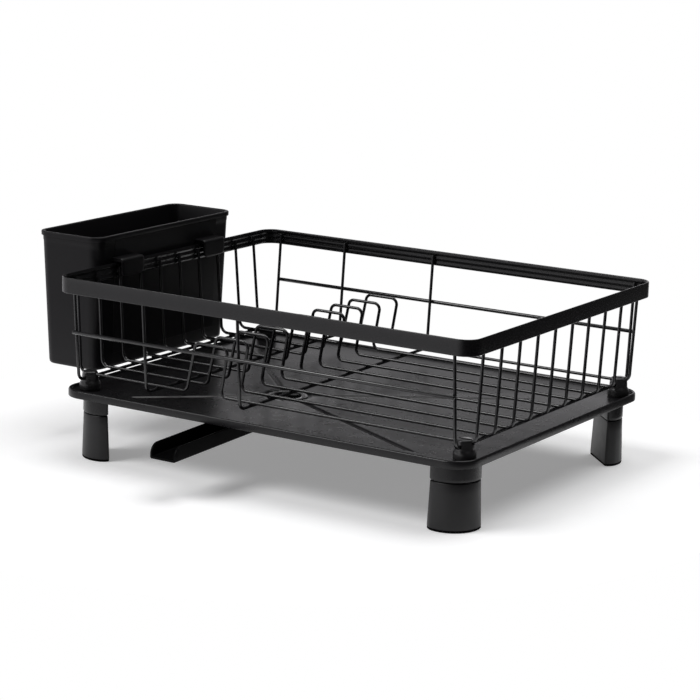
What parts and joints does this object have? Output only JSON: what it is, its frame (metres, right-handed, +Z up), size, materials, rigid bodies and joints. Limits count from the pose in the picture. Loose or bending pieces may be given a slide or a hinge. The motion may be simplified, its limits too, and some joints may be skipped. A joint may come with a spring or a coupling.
{
  "type": "dish drying rack",
  "caption": "Black wire dish basket with plate humps, standing in a drip tray on legs, with a swivel drain spout under it and a cutlery holder hung on its rim.",
  "frame": {"origin": "middle of the whole outline, on the surface that the rack stands on", "axes": "+X along the length, away from the cutlery holder; +Y to the back, away from the spout's tip; +Z up"},
  "size_m": [0.5292, 0.407, 0.202],
  "materials": {
    "coated_steel": "satin black powder coat",
    "tray_plastic": "fine satin black moulding",
    "holder_plastic": "fine matt black moulding",
    "drain_plastic": "satin black moulding",
    "soft_rubber": "smooth black rubber"
  },
  "bodies": {
    "tray": {"drip_tray": "tray_plastic", "leg_front_left": "tray_plastic", "leg_front_right": "tray_plastic", "leg_back_left": "tray_plastic", "leg_back_right": "tray_plastic", "foot_pad_front_left": "soft_rubber", "foot_pad_front_right": "soft_rubber", "foot_pad_back_left": "soft_rubber", "foot_pad_back_right": "soft_rubber", "drain_ring": "drain_plastic", "drain_seal": "soft_rubber"},
    "spout": {"drain_spout": "drain_plastic"},
    "basket": {"rim_band": "coated_steel", "long_wire_01": "coated_steel", "long_wire_02": "coated_steel", "long_wire_03": "coated_steel", "long_wire_04": "coated_steel", "long_wire_05": "coated_steel", "long_wire_06": "coated_steel", "long_wire_07": "coated_steel", "long_wire_08": "coated_steel", "long_wire_09": "coated_steel", "long_wire_10": "coated_steel", "cross_wire_1": "coated_steel", "cross_wire_2": "coated_steel", "cross_wire_3": "coated_steel", "cross_wire_4": "coated_steel", "front_rail": "coated_steel", "back_rail": "coated_steel", "basket_foot_front_left": "soft_rubber", "basket_foot_front_right": "soft_rubber", "basket_foot_back_left": "soft_rubber", "basket_foot_back_right": "soft_rubber"},
    "holder": {"cutlery_holder": "holder_plastic"}
  },
  "joints": [
    {"name": "basket_lift", "type": "slide", "parent": "tray", "child": "basket", "axis": [0, 0, 1], "range_m": [0, 0.15]},
    {"name": "holder_lift", "type": "slide", "parent": "basket", "child": "holder", "axis": [0, 0, 1], "range_m": [0, 0.1]},
    {"name": "spout_swivel", "type": "hinge", "parent": "tray", "child": "spout", "pos_m": [-0.01535, -0.0065, 0.05], "axis": [0, 0, 1], "range_deg": [-36, 288]}
  ]
}
